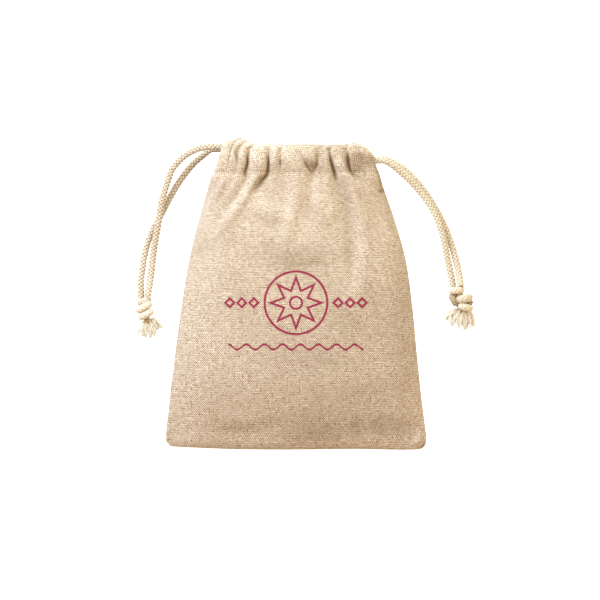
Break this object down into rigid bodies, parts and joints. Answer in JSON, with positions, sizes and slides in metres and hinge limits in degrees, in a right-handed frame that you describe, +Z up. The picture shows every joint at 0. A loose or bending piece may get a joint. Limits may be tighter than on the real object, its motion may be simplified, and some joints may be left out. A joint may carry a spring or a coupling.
{
  "type": "drawstring pouch",
  "caption": "Small woven drawstring pouch lying flat, its mouth gathered by braided cords that end in knots and frayed tufts.",
  "frame": {"origin": "on the table, under the middle of the cloth", "axes": "+X to the right of the front, +Y from the bottom seam towards the mouth, +Z up from the table"},
  "size_m": [0.1712, 0.1559, 0.0219],
  "materials": {
    "cloth": "plain weave, matt",
    "cord": "braided cotton, matt"
  },
  "bodies": {
    "root": {"front_panel": "cloth", "back_panel": "cloth", "left_cord_in_casing": "cord", "right_cord_in_casing": "cord", "left_cord_front_strand": "cord", "left_cord_back_strand": "cord", "right_cord_front_strand": "cord", "right_cord_back_strand": "cord", "left_knot": "cord", "right_knot": "cord", "left_tuft": "cord", "right_tuft": "cord"}
  },
  "joints": []
}
